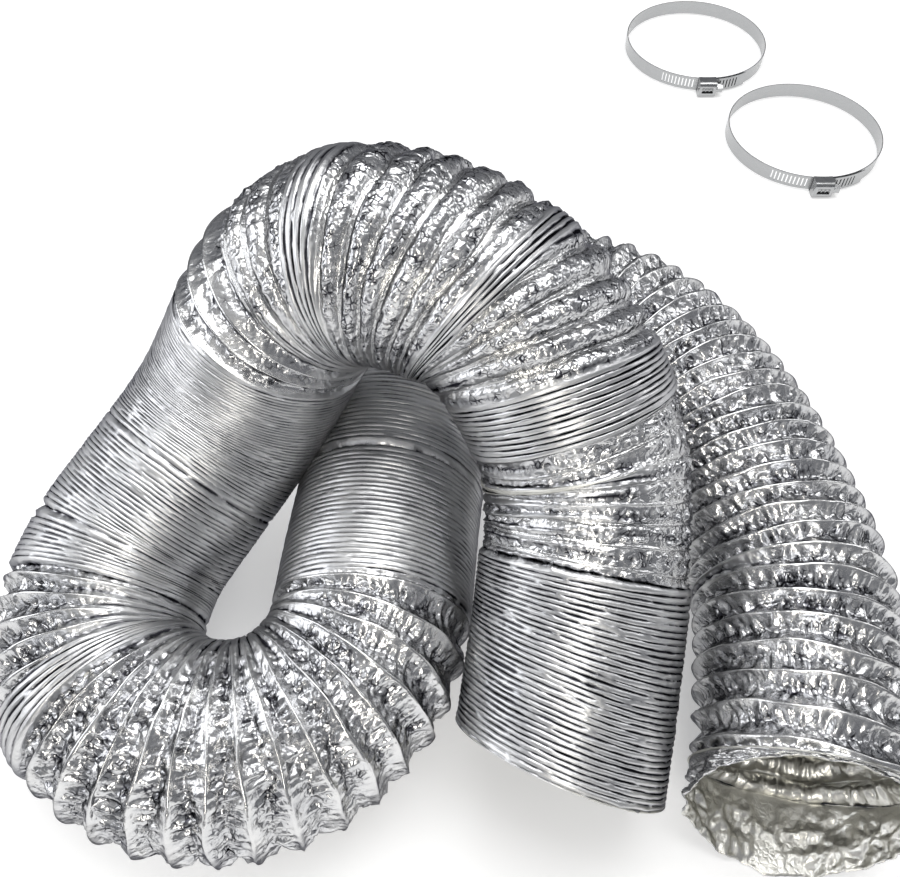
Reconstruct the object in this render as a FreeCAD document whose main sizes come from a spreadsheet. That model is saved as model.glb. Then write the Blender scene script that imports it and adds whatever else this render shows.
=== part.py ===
"""Flexible foil air duct, 100 mm nominal bore, laid in three loops, with two worm-drive hose clamps.

Sizes are in millimetres. X is to the right, Y is away from the front mouth and Z is up from the floor that
the duct lies on. The origin is below the middle of the whole set, on the floor.
"""
import FreeCAD, Part
import math
import os

import Sketcher

Vector = FreeCAD.Vector
UP = Vector(0, 0, 1)

# Driving dimensions
SIZES = {
    # The duct's wall: crests stand over the wire, valleys are the foil between two turns
    "mouth_bore_radius": 50.4,
    "sleeve_wall": 0.5,
    "crest_rise": 0.9,
    "drawn_pleat_depth": 5.2,
    "squeezed_pleat_depth": 1.8,
    "foil_wall": 1.2,
    "floor_flat": 0.5,
    # Front end: pleats squeezed together into a firm pack
    "pack_length": 92.0,
    "pack_ribs": 22,
    "front_bellows_length": 78.0,
    "front_bellows_ribs": 8,
    # Rear end: drawn-out pleats, then bare foil past the last turn of wire
    "rear_bellows_length": 54.0,
    "rear_bellows_ribs": 5,
    "cuff_length": 40.0,
    "cuff_ribs": 4,
    "skirt_length": 28.0,
    "skirt_cut_back": 17.0,
    # Hose clamps
    "clamp_ring_radius": 63.5,
    "clamps_apart": 25.7,
    "band_width": 12.0,
    "band_thickness": 0.7,
    "band_gap_angle": 5.0,
    "tail_lead_angle": 6.0,
    "tail_reach_angle": 34.0,
    "tail_clearance": 0.3,
    "slot_length": 8.0,
    "slot_width": 1.1,
    "slot_pitch_angle": 2.8,
    "tail_slots": 11,
    "band_slots": 10,
    "saddle_thickness": 0.6,
    "housing_length": 15.0,
    "housing_wall": 0.8,
    "housing_end_wall": 1.2,
    "housing_side_gap": 0.3,
    "housing_corner": 3.6,
    "window_length": 10.0,
    "window_width": 5.2,
    "screw_clearance": 0.8,
    "head_clearance": 0.05,
    "shank_radius": 3.3,
    "shank_clearance": 0.5,
    "journal_radius": 2.0,
    "journal_clearance": 0.08,
    "collar_radius": 3.7,
    "collar_length": 0.9,
    "screw_end_gap": 0.3,
    "head_width": 7.0,
    "head_length": 4.4,
    "driver_slot_width": 1.2,
    "driver_slot_depth": 1.8,
}

# The duct's route, from the front mouth to the end of the skirt, chosen by hand from the photograph for a
# duct of this crest radius, and laid as much wider as the duct is. The third number is the height of the
# axis over the height at which the crests rest on the floor.
ROUTE_CREST_RADIUS = 51.8
ROUTE = [
    (58, -186, -6.3),
    (70, -76, 53.8),
    (57, -42, 92.5),
    (31, -17, 125.5),
    (-8, -1, 141.5),
    (-45, 9, 133.5),
    (-78, 12, 103),
    (-110, 7, 68),
    (-130, -13, 40.5),
    (-155, -46, 23),
    (-179, -84, 7),
    (-181, -142, 0),
    (-139, -181, 0),
    (-82, -181, 0),
    (-43, -142, 0),
    (-39, -91, 0),
    (-34, -42, 0),
    (-26, 14, 0),
    (-16, 62, 0),
    (10, 98, 0),
    (53, 115, 0),
    (98, 103, 0),
    (134, 73, 0),
    (157, 30, 0),
    (172, -16, 0),
    (180, -66, 0),
    (182, -116, 0),
    (163, -230, 0),
]
# The share of the shorter run that each bend takes up on either side of its point
BEND_SHARE = 0.45

# Where ribs lie along the run between the two bellows: a length, its number of ribs, one to each turn of the
# wire, and how far they are squeezed. The last stretch takes what length is left.
RUN_STRETCHES = [
    (38, 13, "squeezed"),
    (28, 3, "drawn"),
    (14, 5, "squeezed"),
    (54, 8, "drawn"),
    (14, 5, "squeezed"),
    (46, 8, "drawn"),
    (186, 40, "squeezed"),
    (48, 5, "drawn"),
    (14, 5, "squeezed"),
    (170, 15, "drawn"),
    (215, 27, "squeezed"),
    (0, 27, "drawn"),
]

# Where the nearer clamp lies on the floor, and which way the farther one lies from it, in degrees
NEAR_CLAMP = (301.0, 348.0)
FAR_CLAMP_WAY = 117.6
# From the route's own corner of the floor to the middle of the whole set
SHIFT_X = 63.3
SHIFT_Y = 154.4

doc = FreeCAD.newDocument("air_duct")
sheet = doc.addObject("Spreadsheet::Sheet", "Sizes")
for row, (name, value) in enumerate(SIZES.items(), start=1):
    sheet.set(f"A{row}", name)
    sheet.set(f"B{row}", str(value))
    sheet.setAlias(f"B{row}", name)
doc.recompute()


def size(name):
    """A driving dimension, read back from the sheet."""
    return float(getattr(sheet, name))


def count(name):
    """A driving number of ribs or slots, read back from the sheet."""
    return int(round(size(name)))


rules = doc.addObject("Spreadsheet::Sheet", "Rules")
worked_out = {}


def worth(rule):
    """What a rule over the sheet's names comes to, worked out once on a second sheet."""
    if rule not in worked_out:
        cell = f"A{len(worked_out) + 1}"
        rules.set(cell, "=" + rule.replace("{", "Sizes.").replace("}", ""))
        doc.recompute([rules])
        worked_out[rule] = float(rules.get(cell))
    return worked_out[rule]


CREST = "{mouth_bore_radius} + {sleeve_wall} + {crest_rise}"
SLEEVE = "{mouth_bore_radius} + {sleeve_wall}"
crest_radius = worth(CREST)
sleeve_radius = worth(SLEEVE)
bore_radius = size("mouth_bore_radius")

# The route: straight runs joined by tangent arcs


class Run:
    """A straight stretch of the route."""

    def __init__(self, start, end):
        self.start = start
        self.direction = (end - start).normalize()
        self.length = (end - start).Length
        self.radius = None

    def at(self, along):
        return self.start + self.direction * along, self.direction


class Bend:
    """A circular arc that joins two runs and is tangent to both."""

    def __init__(self, corner, before, after, reach):
        turn = before.getAngle(after)
        self.radius = reach / math.tan(turn / 2)
        self.length = self.radius * turn
        self.start = corner - before * reach
        inward = (after - before).normalize()
        self.centre = corner + inward * (self.radius / math.cos(turn / 2))
        self.spoke = (self.start - self.centre).normalize()
        self.direction = before

    def at(self, along):
        angle = along / self.radius
        spoke = self.spoke * math.cos(angle) + self.direction * math.sin(angle)
        tangent = self.direction * math.cos(angle) - self.spoke * math.sin(angle)
        return self.centre + spoke * self.radius, tangent


def lay_route(points):
    """The runs and bends through the points, in order."""
    legs = [b - a for a, b in zip(points, points[1:])]
    pieces = []
    last = points[0]
    for corner, before, after in zip(points[1:], legs, legs[1:]):
        reach = BEND_SHARE * min(before.Length, after.Length)
        ahead = Vector(before).normalize()
        beyond = Vector(after).normalize()
        bend = Bend(corner, ahead, beyond, reach)
        pieces.append(Run(last, bend.start))
        pieces.append(bend)
        last = corner + beyond * reach
    pieces.append(Run(last, points[-1]))
    return pieces


axis_height = crest_radius - size("floor_flat")
lay = crest_radius / ROUTE_CREST_RADIUS
route_points = [
    Vector(x * lay - SHIFT_X, y * lay - SHIFT_Y, axis_height + rise * lay)
    for x, y, rise in ROUTE
]
route = lay_route(route_points)
route_length = sum(piece.length for piece in route)


def station(along):
    """The route's point and direction at a length along it."""
    for piece in route:
        if along <= piece.length or piece is route[-1]:
            return piece.at(along)
        along -= piece.length


def ring(along, radius):
    """A circle square to the route, its seam always on the side that is highest."""
    centre, ahead = station(along)
    circle = Part.Circle(centre, ahead, radius)
    circle.XAxis = (UP - ahead * UP.dot(ahead)).normalize()
    return Part.Wire(circle.toShape())


def pleated_tube(stations):
    """A tube along the route: pleats outside, a bore inside that follows the valleys.

    stations holds the length along the route of each rib's start, with its valley radius, and the last one's
    end. A crest stands halfway between two valleys. Both ends open out to the sleeve of a mouth.
    """
    wall = size("foil_wall")
    outer = []
    inner = []
    for i, (along, valley) in enumerate(stations):
        at_end = i in (0, len(stations) - 1)
        outer.append(ring(along, sleeve_radius if at_end else valley))
        inner.append(ring(along, bore_radius if at_end else valley - wall))
        if i < len(stations) - 1:
            outer.append(ring((along + stations[i + 1][0]) / 2, crest_radius))
    skin = Part.makeLoft(outer, False, True)
    bore = Part.makeLoft(inner, False, True)
    ends = [
        Part.makeFace([outer[i], inner[i]], "Part::FaceMakerBullseye") for i in (0, -1)
    ]
    shell = Part.Shell(skin.Faces + bore.Faces + ends)
    shell.sewShape(1e-4)
    tube = Part.Solid(shell)
    if tube.Volume < 0:
        tube.reverse()
    return tube


def even_stations(start, length, ribs, valley):
    """Valleys at even spacing, from a start along the route."""
    return [(start + length * i / ribs, valley) for i in range(ribs + 1)]


def on_the_floor(shape):
    """The shape with what would reach below the floor cut off flat."""
    box = shape.BoundBox
    margin = 5.0
    under = Part.makeBox(
        box.XLength + 2 * margin,
        box.YLength + 2 * margin,
        margin,
        Vector(box.XMin - margin, box.YMin - margin, -margin),
    )
    return shape.cut(under)


sub_parts = []


def keep(thing, label):
    """Names a finished sub-part and lists it for writing."""
    thing.Label = label
    sub_parts.append(thing)


def keep_shape(shape, label):
    feature = doc.addObject("Part::Feature", label)
    feature.Shape = shape
    keep(feature, label)


# Lengths along the route at which one piece of the duct ends and the next begins
pack_end = size("pack_length")
front_bellows_end = pack_end + size("front_bellows_length")
skirt_end = route_length
cuff_end = skirt_end - size("skirt_length")
cuff_start = cuff_end - size("cuff_length")
run_end = cuff_start - size("rear_bellows_length")

valleys = {
    "drawn": crest_radius - size("drawn_pleat_depth"),
    "squeezed": crest_radius - size("squeezed_pleat_depth"),
}


def run_stations():
    """Valleys along the run, closer together where the foil is drawn out."""
    stations = []
    at = front_bellows_end
    stated = lay * sum(length for length, _, _ in RUN_STRETCHES)
    for length, ribs, state in RUN_STRETCHES:
        length = length * lay or run_end - front_bellows_end - stated
        stations += even_stations(at, length, ribs, valleys[state])[:-1]
        at += length
    stations.append((at, valleys["drawn"]))
    return stations


main_run = pleated_tube(run_stations())
keep_shape(on_the_floor(main_run), "duct_run")

front_bellows = pleated_tube(
    even_stations(
        pack_end,
        size("front_bellows_length"),
        count("front_bellows_ribs"),
        valleys["drawn"],
    )
)
keep_shape(on_the_floor(front_bellows), "front_bellows")

rear_bellows = pleated_tube(
    even_stations(
        run_end,
        size("rear_bellows_length"),
        count("rear_bellows_ribs"),
        valleys["drawn"],
    )
)
keep_shape(on_the_floor(rear_bellows), "rear_bellows")


# Helpers for bodies made from sketches


def origin_part(body, role):
    """One of a body's own origin planes or axes."""
    return next(f for f in body.Origin.OriginFeatures if f.Role == role)


def new_body(label):
    return doc.addObject("PartDesign::Body", label)


def new_sketch(body, name, role):
    sketch = body.newObject("Sketcher::SketchObject", name)
    sketch.AttachmentSupport = [(origin_part(body, role), "")]
    sketch.MapMode = "FlatFace"
    return sketch


def bind(thing, prop, rule):
    """Binds a property to a rule over the sheet's names, which stand in braces."""
    thing.setExpression(prop, rule.replace("{", "Sizes.").replace("}", ""))


def add_circle(sketch, radius, centre=("0", "0")):
    """A circle whose radius and centre are bound to the sheet."""
    x, y = (worth(rule) for rule in centre)
    edge = sketch.addGeometry(Part.Circle(Vector(x, y, 0), UP, worth(radius)))
    if centre == ("0", "0"):
        sketch.addConstraint(Sketcher.Constraint("Coincident", edge, 3, -1, 1))
    else:
        pin(sketch, edge, 3, "X", centre[0])
        pin(sketch, edge, 3, "Y", centre[1])
    rule = sketch.addConstraint(
        Sketcher.Constraint("Radius", edge, worth(radius))
    )
    bind(sketch, f"Constraints[{rule}]", radius)


def add_outline(sketch, corners):
    """A closed outline of straight edges, each corner given as two rules over the sheet's names."""
    places = [Vector(worth(x), worth(y), 0) for x, y in corners]
    edges = [
        sketch.addGeometry(Part.LineSegment(a, b))
        for a, b in zip(places, places[1:] + places[:1])
    ]
    for edge, following in zip(edges, edges[1:] + edges[:1]):
        sketch.addConstraint(Sketcher.Constraint("Coincident", edge, 2, following, 1))
    for edge, (x, y) in zip(edges, corners):
        pin(sketch, edge, 1, "X", x)
        pin(sketch, edge, 1, "Y", y)


def pin(sketch, edge, point, way, rule):
    """Ties one coordinate of a point to the sketch's centre."""
    value = worth(rule)
    if rule == "0":
        axis = -2 if way == "X" else -1
        sketch.addConstraint(Sketcher.Constraint("PointOnObject", edge, point, axis))
        return
    name = f"Distance{way}"
    tie = sketch.addConstraint(Sketcher.Constraint(name, -1, 1, edge, point, value))
    bind(sketch, f"Constraints[{tie}]", rule)


def pad(body, sketch, length, midplane=False):
    feature = body.newObject("PartDesign::Pad", sketch.Label + "Pad")
    feature.Profile = sketch
    feature.Midplane = midplane
    bind(feature, "Length", length)
    doc.recompute()
    return feature


def pocket(body, sketch, length=None, midplane=True, flipped=False):
    """Cuts a sketch into the body and makes sure that it took material away."""
    before = body.Shape.Volume
    feature = body.newObject("PartDesign::Pocket", sketch.Label + "Pocket")
    feature.Profile = sketch
    if length is None:
        feature.Type = "ThroughAll"
    else:
        bind(feature, "Length", length)
    feature.Midplane = midplane
    feature.Reversed = flipped
    doc.recompute()
    if body.Shape.Volume > before - 1e-3:
        raise RuntimeError(f"{sketch.Label} in {body.Label} cuts nothing")
    return feature


def revolve(body, sketch, role, angle=None):
    """Turns a sketch about one of the body's axes, all the way round or to a bound angle."""
    feature = body.newObject("PartDesign::Revolution", sketch.Label + "Turn")
    feature.Profile = sketch
    feature.ReferenceAxis = (origin_part(body, role), [""])
    if angle is None:
        feature.Angle = 360
    else:
        bind(feature, "Angle", angle)
    doc.recompute()
    return feature


def repeat_along(body, feature, role, length, occurrences):
    pattern = body.newObject("PartDesign::LinearPattern", feature.Label + "Row")
    pattern.Originals = [feature]
    pattern.Direction = (origin_part(body, role), [""])
    bind(pattern, "Length", length)
    bind(pattern, "Occurrences", occurrences)
    body.Tip = pattern
    doc.recompute()
    return pattern


def repeat_round(body, feature, angle, occurrences, flipped=False):
    pattern = body.newObject("PartDesign::PolarPattern", feature.Label + "Ring")
    pattern.Originals = [feature]
    pattern.Axis = (origin_part(body, "Z_Axis"), [""])
    bind(pattern, "Angle", angle)
    bind(pattern, "Occurrences", occurrences)
    pattern.Reversed = flipped
    body.Tip = pattern
    doc.recompute()
    return pattern


def placed_at(along, outward):
    """The placement that puts a body's Z along the route there, or against it, and its X uppermost."""
    place, ahead = station(along)
    z_way = ahead if outward else ahead * -1
    x_way = (UP - z_way * UP.dot(z_way)).normalize()
    y_way = z_way.cross(x_way)
    turn = FreeCAD.Rotation(x_way, y_way, z_way, "ZXY")
    return FreeCAD.Placement(place, turn)


def keep_on_floor(body, label):
    """Keeps a body, cut flat where it lies on the floor."""
    box = body.Shape.BoundBox
    margin = 5.0
    floor = doc.addObject("Part::Box", label + "_floor")
    floor.Length = box.XLength + 2 * margin
    floor.Width = box.YLength + 2 * margin
    floor.Height = margin
    floor.Placement.Base = Vector(box.XMin - margin, box.YMin - margin, -margin)
    cut = doc.addObject("Part::Cut", label)
    cut.Base = body
    cut.Tool = floor
    doc.recompute()
    keep(cut, label)


def ribbed_sleeve(label, length, ribbed_length, ribs):
    """A straight sleeve with turned ribs, from its origin along Z."""
    body = new_body(label)
    wall = new_sketch(body, label + "Wall", "XY_Plane")
    add_circle(wall, SLEEVE)
    pad(body, wall, length)
    profile = new_sketch(body, label + "Rib", "XZ_Plane")
    foot = "{mouth_bore_radius} + {sleeve_wall} / 2"
    pitch = f"({ribbed_length}) / ({ribs})"
    add_outline(
        profile,
        [
            (foot, "0"),
            (SLEEVE, "0"),
            (CREST, f"{pitch} / 2"),
            (SLEEVE, pitch),
            (foot, pitch),
        ],
    )
    rib = revolve(body, profile, "Z_Axis")
    repeat_along(body, rib, "Z_Axis", f"({ribbed_length}) - {pitch}", ribs)
    bore = new_sketch(body, label + "Bore", "XY_Plane")
    add_circle(bore, "{mouth_bore_radius}")
    pocket(body, bore)
    return body


# Front end: pleats squeezed together, open at the mouth

front = ribbed_sleeve("front_pack", "{pack_length}", "{pack_length}", "{pack_ribs}")
front.Placement = placed_at(pack_end, False)
doc.recompute()
keep_on_floor(front, "front_end")

# Rear end: a few drawn-out ribs, then bare foil past the last turn of wire, cut back at the top

rear = ribbed_sleeve(
    "rear_cuff",
    "{cuff_length} + {skirt_length}",
    "{cuff_length}",
    "{cuff_ribs}",
)
lip = new_sketch(rear, "SkirtLip", "XZ_Plane")
beyond = CREST + " + 5"
tip = "{cuff_length} + {skirt_length}"
add_outline(
    lip,
    [
        (f"-({beyond})", tip),
        (beyond, f"{tip} - {{skirt_cut_back}}"),
        (beyond, f"{tip} + 5"),
        (f"-({beyond})", f"{tip} + 5"),
    ],
)
pocket(rear, lip)
rear.Placement = placed_at(cuff_start, True)
doc.recompute()
keep_on_floor(rear, "rear_end")


# Hose clamps. Each is drawn about its ring's axis, with the screw's housing on its front side, at -Y.

TAIL_INSIDE = (
    "{clamp_ring_radius} + {band_thickness} / 2 + {saddle_thickness} + {tail_clearance}"
)
BAND_OUTSIDE = "{clamp_ring_radius} + {band_thickness} / 2"
SADDLE_OUTSIDE = BAND_OUTSIDE + " + {saddle_thickness}"
TAIL_OUTSIDE = TAIL_INSIDE + " + {band_thickness}"
SCREW_AXIS = (
    TAIL_OUTSIDE
    + " + max({shank_radius} + {screw_clearance}; {head_width} / sqrt(3) + {head_clearance})"
)
CHAMBER_TOP = SCREW_AXIS + " + {shank_radius} + {shank_clearance}"
HOUSING_TOP = CHAMBER_TOP + " + {housing_wall}"
HOUSING_WIDTH = "{band_width} + 2 * {housing_side_gap} + 2 * {housing_wall}"
SCREW_REACH = "{housing_length} / 2 + {screw_end_gap}"
SADDLE_ANGLE = "2 * asin({housing_length} / 2 / {clamp_ring_radius})"


def offset_sketch(sketch, axis, turn=None, rise=None):
    """Turns a sketch about one of its own axes, or lifts it off its plane, by a rule over the sheet's names."""
    start = worth(turn) if turn else 0.0
    turned = FreeCAD.Rotation(axis, start)
    sketch.AttachmentOffset = FreeCAD.Placement(Vector(0, 0, 0), turned)
    if turn:
        bind(sketch, "AttachmentOffset.Rotation.Angle", turn)
    if rise:
        bind(sketch, "AttachmentOffset.Base.z", rise)


def slotted_strip(label, inside, sweep, slots, first_slot, backwards):
    """A strip of band, an arc about Z that starts at its own +X, with a row of slots for the worm's thread."""
    body = new_body(label)
    section = new_sketch(body, label + "Section", "XZ_Plane")
    half = "{band_width} / 2"
    outside = f"{inside} + {{band_thickness}}"
    add_outline(
        section,
        [
            (inside, f"-{half}"),
            (outside, f"-{half}"),
            (outside, half),
            (inside, half),
        ],
    )
    revolve(body, section, "Z_Axis", sweep)
    slot = new_sketch(body, label + "Slot", "YZ_Plane")
    offset_sketch(slot, Vector(0, 1, 0), turn=first_slot)
    across = "{slot_width} / 2"
    up = "{slot_length} / 2"
    add_outline(
        slot,
        [
            (f"-{across}", f"-{up}"),
            (across, f"-{up}"),
            (across, up),
            (f"-{across}", up),
        ],
    )
    first = pocket(body, slot, midplane=False, flipped=True)
    span = f"({slots} - 1) * {{slot_pitch_angle}}"
    repeat_round(body, first, span, slots, backwards)
    return body


def edges_where(body, test):
    """The names of a body's edges that pass a test."""
    return [f"Edge{i}" for i, e in enumerate(body.Shape.Edges, start=1) if test(e)]


def runs_along(edge, way):
    """Whether an edge is straight and lies along a direction."""
    ends = edge.Vertexes
    if len(ends) != 2 or not isinstance(edge.Curve, Part.Line):
        return False
    return (ends[1].Point - ends[0].Point).normalize().cross(way).Length < 1e-6


def round_off(body, edges, radius):
    whole = body.Tip
    feature = body.newObject("PartDesign::Fillet", body.Label + "Round")
    feature.Base = (whole, edges)
    bind(feature, "Radius", radius)
    body.Tip = feature
    doc.recompute()


def make_saddle(label):
    """The curved plate welded to the band, over which the tail slides."""
    body = new_body(label)
    section = new_sketch(body, label + "Section", "XZ_Plane")
    half = f"({HOUSING_WIDTH}) / 2"
    add_outline(
        section,
        [
            (BAND_OUTSIDE, f"-{half}"),
            (SADDLE_OUTSIDE, f"-{half}"),
            (SADDLE_OUTSIDE, half),
            (BAND_OUTSIDE, half),
        ],
    )
    revolve(body, section, "Z_Axis", SADDLE_ANGLE)
    return body


def make_housing(label):
    """The pressed cover that holds the screw over the tail, open at the top where the thread shows."""
    body = new_body(label)
    plan = new_sketch(body, label + "Plan", "XY_Plane")
    side = "{housing_length} / 2"
    add_outline(
        plan,
        [
            (f"-{side}", f"-({BAND_OUTSIDE})"),
            (f"-{side}", f"-({HOUSING_TOP})"),
            (side, f"-({HOUSING_TOP})"),
            (side, f"-({BAND_OUTSIDE})"),
        ],
    )
    pad(body, plan, HOUSING_WIDTH, midplane=True)
    top = -worth(HOUSING_TOP)
    edges = edges_where(
        body,
        lambda e: runs_along(e, Vector(1, 0, 0))
        and abs(e.CenterOfMass.y - top) < 1e-6,
    )
    round_off(body, edges, "{housing_corner}")
    seat = new_sketch(body, label + "Seat", "XY_Plane")
    add_circle(seat, SADDLE_OUTSIDE)
    pocket(body, seat)
    passage = new_sketch(body, label + "Passage", "XY_Plane")
    add_circle(passage, TAIL_OUTSIDE + " + {tail_clearance}")
    pocket(body, passage, "{band_width} + 2 * {housing_side_gap}")
    chamber = new_sketch(body, label + "Chamber", "XY_Plane")
    inner = "{housing_length} / 2 - {housing_end_wall}"
    add_outline(
        chamber,
        [
            (f"-({inner})", f"-({TAIL_INSIDE})"),
            (f"-({inner})", f"-({CHAMBER_TOP})"),
            (inner, f"-({CHAMBER_TOP})"),
            (inner, f"-({TAIL_INSIDE})"),
        ],
    )
    pocket(body, chamber, "2 * ({shank_radius} + {shank_clearance})")
    bearing = new_sketch(body, label + "Bearing", "YZ_Plane")
    hole = "{journal_radius} + {journal_clearance}"
    add_circle(bearing, hole, (f"-({SCREW_AXIS})", "0"))
    pocket(body, bearing)
    window = new_sketch(body, label + "Window", "XZ_Plane")
    wide = "{window_length} / 2"
    high = "{window_width} / 2"
    add_outline(
        window,
        [
            (f"-{wide}", f"-{high}"),
            (wide, f"-{high}"),
            (wide, high),
            (f"-{wide}", high),
        ],
    )
    pocket(body, window)
    return body


def make_screw(label):
    """The worm screw about its own X: shank, two journals, and a hexagon head with a collar and a driver slot."""
    body = new_body(label)
    turned = new_sketch(body, label + "Profile", "XY_Plane")
    shank = "{housing_length} / 2 - {housing_end_wall} - {screw_end_gap}"
    flange = f"{SCREW_REACH} + {{collar_length}}"
    steps = [
        (f"-({SCREW_REACH})", "{journal_radius}"),
        (f"-({shank})", "{shank_radius}"),
        (shank, "{journal_radius}"),
        (SCREW_REACH, "{collar_radius}"),
        (flange, None),
    ]
    corners = [(steps[0][0], "0")]
    for (start, radius), (end, _) in zip(steps, steps[1:]):
        corners += [(start, radius), (end, radius)]
    corners.append((flange, "0"))
    add_outline(turned, corners)
    revolve(body, turned, "X_Axis")
    head = new_sketch(body, label + "Head", "YZ_Plane")
    offset_sketch(head, UP, rise=f"{SCREW_REACH} + {{collar_length}}")
    corner = "{head_width} / sqrt(3)"
    add_outline(
        head,
        [(f"{corner} * cos({a})", f"{corner} * sin({a})") for a in range(30, 390, 60)],
    )
    pad(body, head, "{head_length}")
    driver = new_sketch(body, label + "Driver", "XY_Plane")
    end = f"{flange} + {{head_length}}"
    half = "{driver_slot_width} / 2"
    add_outline(
        driver,
        [
            (f"{end} - {{driver_slot_depth}}", f"-{half}"),
            (f"{end} + 1", f"-{half}"),
            (f"{end} + 1", half),
            (f"{end} - {{driver_slot_depth}}", half),
        ],
    )
    pocket(body, driver)
    return body


def make_clamp(name, middle, turn):
    """One hose clamp, lying on the floor with its ring's axis upright."""
    front_side = turn - 90.0

    def place(body, angle, offset=Vector(0, 0, 0)):
        spin = FreeCAD.Rotation(UP, angle)
        body.Placement = FreeCAD.Placement(middle + spin.multVec(offset), spin)
        keep(body, body.Label)

    band = slotted_strip(
        f"{name}_band",
        "{clamp_ring_radius} - {band_thickness} / 2",
        "360 - {band_gap_angle}",
        "{band_slots}",
        "360 - {band_gap_angle} - 2 * {slot_pitch_angle}",
        True,
    )
    place(band, front_side)
    tail = slotted_strip(
        f"{name}_tail",
        TAIL_INSIDE,
        "{tail_lead_angle} + {tail_reach_angle}",
        "{tail_slots}",
        "{slot_pitch_angle}",
        False,
    )
    place(tail, front_side - size("tail_lead_angle"))
    saddle = make_saddle(f"{name}_saddle")
    place(saddle, front_side - worth(SADDLE_ANGLE) / 2)
    place(make_housing(f"{name}_housing"), turn)
    screw = make_screw(f"{name}_screw")
    place(screw, turn, Vector(0, -worth(SCREW_AXIS), 0))


near_x, near_y = NEAR_CLAMP
near_middle = Vector(near_x - SHIFT_X, near_y - SHIFT_Y, worth(HOUSING_WIDTH) / 2)
way = FreeCAD.Rotation(UP, FAR_CLAMP_WAY).multVec(Vector(1, 0, 0))
far_middle = near_middle + way * worth(f"2 * ({BAND_OUTSIDE}) + {{clamps_apart}}")
clamp_middles = {"clamp_1": far_middle, "clamp_2": near_middle}
for name, middle in clamp_middles.items():
    make_clamp(name, middle, 0.0)
doc.recompute()


# Checks, then the files


def check_document():
    """Stops on any object that failed, and on any sub-part that isn't one valid solid."""
    for thing in doc.Objects:
        if {"Invalid", "Error"} & set(thing.State):
            raise RuntimeError(f"{thing.Label} failed: {thing.State}")
    for thing in sub_parts:
        shape = thing.Shape
        if shape.isNull() or not shape.isValid():
            raise RuntimeError(f"{thing.Label} has no valid shape")
        if len(shape.Solids) != 1:
            raise RuntimeError(f"{thing.Label} has {len(shape.Solids)} solids")


def report_route():
    """Prints the bends' radii and the least room between stretches that lie side by side."""
    bends = [piece.radius for piece in route if piece.radius]
    print("route length", round(route_length, 1), "mm, bend radii", [round(r) for r in bends])
    step = 6.0
    spots = [station(step * i)[0] for i in range(int(route_length / step) + 1)]
    apart = int(230 / step)
    room = min(
        (spots[i] - spots[j]).Length
        for i in range(len(spots))
        for j in range(i + apart, len(spots))
    )
    print("least room between crests", round(room - 2 * crest_radius, 2), "mm")


def report_volumes():
    """Prints how much of a plain tube's volume, crest to bore along the route, each pleated tube has."""
    for thing, length in (
        (main_run, run_end - front_bellows_end),
        (front_bellows, front_bellows_end - pack_end),
        (rear_bellows, cuff_start - run_end),
    ):
        inner = crest_radius - size("drawn_pleat_depth") - size("foil_wall")
        section = math.pi * (crest_radius**2 - inner**2)
        print("share of a plain tube's volume", round(thing.Volume / (section * length), 3))


def report_places():
    """Prints the places that the mounts and joints take."""
    for name, along, sign in (
        ("front mouth", 0.0, -1),
        ("front pack end", pack_end, -1),
        ("front bellows end", front_bellows_end, 1),
        ("rear bellows start", run_end, 1),
        ("rear bellows middle", (run_end + cuff_start) / 2, 1),
        ("cuff start", cuff_start, 1),
        ("skirt end", skirt_end, 1),
    ):
        place, ahead = station(along)
        spot = [round(v, 3) for v in place]
        way = [round(v * sign, 6) for v in ahead]
        print(f"{name}: {spot} {way}")
    for name, middle in clamp_middles.items():
        print(f"{name}: middle {[round(v, 3) for v in middle]}, screw {round(worth(SCREW_AXIS), 3)}")
    box = FreeCAD.BoundBox()
    for thing in sub_parts:
        box.add(thing.Shape.BoundBox)
    print("box", [round(v, 2) for v in (box.XMin, box.XMax, box.YMin, box.YMax, box.ZMin, box.ZMax)])


def write_files():
    os.makedirs("parts", exist_ok=True)
    for thing in sub_parts:
        thing.Shape.exportStep(f"parts/{thing.Label}.step")
        volume = thing.Shape.Volume / 1000
        print(f"{thing.Label}: {volume:.2f} cm3, {len(thing.Shape.Faces)} faces")


check_document()
report_route()
report_volumes()
report_places()
write_files()
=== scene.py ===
"""A flexible foil air duct laid in loops, and two hose clamps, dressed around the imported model."""

import math
from collections import namedtuple

import bpy
import numpy as np
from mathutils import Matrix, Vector


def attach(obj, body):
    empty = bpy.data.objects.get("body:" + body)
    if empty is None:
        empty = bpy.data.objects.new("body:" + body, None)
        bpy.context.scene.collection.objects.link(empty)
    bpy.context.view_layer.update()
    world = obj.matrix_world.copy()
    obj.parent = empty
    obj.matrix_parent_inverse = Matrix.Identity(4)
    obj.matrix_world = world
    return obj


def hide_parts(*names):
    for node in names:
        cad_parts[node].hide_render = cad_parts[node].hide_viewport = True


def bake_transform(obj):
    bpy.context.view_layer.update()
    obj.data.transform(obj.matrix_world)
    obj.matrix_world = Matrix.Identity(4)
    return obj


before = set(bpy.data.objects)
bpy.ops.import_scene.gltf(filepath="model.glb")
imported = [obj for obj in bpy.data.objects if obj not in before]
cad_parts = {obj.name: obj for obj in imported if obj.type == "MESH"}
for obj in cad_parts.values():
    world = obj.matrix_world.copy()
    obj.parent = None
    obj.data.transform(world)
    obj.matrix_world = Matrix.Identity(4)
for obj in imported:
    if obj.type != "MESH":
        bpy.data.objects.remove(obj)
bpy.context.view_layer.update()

# Sizes are in metres. A turn is a turn of wire, counted from the front mouth.
MM = 0.001

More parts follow.
